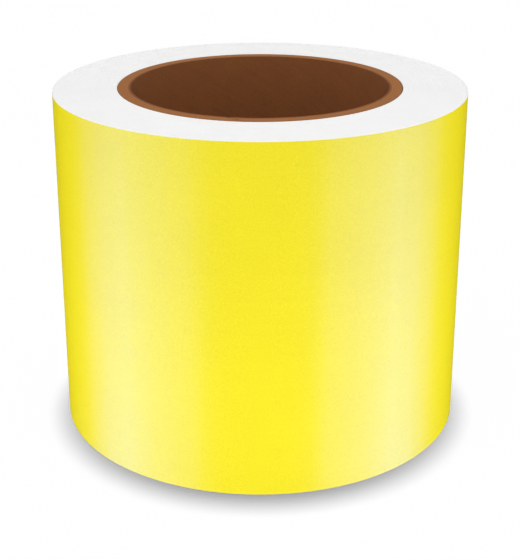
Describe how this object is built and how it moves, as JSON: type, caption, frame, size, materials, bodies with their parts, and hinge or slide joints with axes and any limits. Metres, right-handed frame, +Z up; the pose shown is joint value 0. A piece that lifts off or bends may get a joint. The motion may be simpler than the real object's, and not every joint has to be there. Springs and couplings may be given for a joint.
{
  "type": "sign vinyl roll",
  "caption": "Roll of yellow adhesive vinyl on white release liner, wound on a spiral paperboard core, with a liftable tail, a peelable film end and a closure tab.",
  "frame": {"origin": "on the bore's axis, at the bottom face that the roll stands on", "axes": "+Z up along the bore's axis; the web's free end and its closure tab are towards +Y"},
  "size_m": [0.1215, 0.1219, 0.1016],
  "materials": {
    "yellow_vinyl": "satin",
    "wound_edge": "satin",
    "release_paper": "satin",
    "paperboard": "matte",
    "kraft_lining": "matte",
    "start_tape": "satin",
    "closure_tape": "satin"
  },
  "bodies": {
    "roll": {"core_inner_ply": "kraft_lining", "core_body_ply_1": "paperboard", "core_body_ply_2": "paperboard", "core_body_ply_3": "paperboard", "core_body_ply_4": "paperboard", "core_outer_ply": "paperboard", "core_start_tape": "start_tape", "wound_web": "wound_edge", "outer_turn_liner": "release_paper", "outer_turn_film": "yellow_vinyl"},
    "tail": {"tail_liner": "release_paper", "tail_film": "yellow_vinyl"},
    "film_end": {"peel_end_film": "yellow_vinyl"},
    "tab": {"closure_tab": "closure_tape"}
  },
  "joints": [
    {"name": "tail_lift", "type": "hinge", "parent": "roll", "child": "tail", "pos_m": [0.03496, 0.04993, 0.0508], "axis": [0, 0, -1], "range_deg": [0, 60], "stiffness_Nm_per_rad": 0.007},
    {"name": "film_peel", "type": "hinge", "parent": "tail", "child": "film_end", "pos_m": [0.02183, 0.05691, 0.0508], "axis": [0, 0, -1], "range_deg": [0, 75], "stiffness_Nm_per_rad": 0.0012},
    {"name": "tab_peel", "type": "hinge", "parent": "film_end", "child": "tab", "pos_m": [0.01905, 0.05812, 0.0508], "axis": [0, 0, -1], "range_deg": [0, 75], "stiffness_Nm_per_rad": 0.0004}
  ]
}
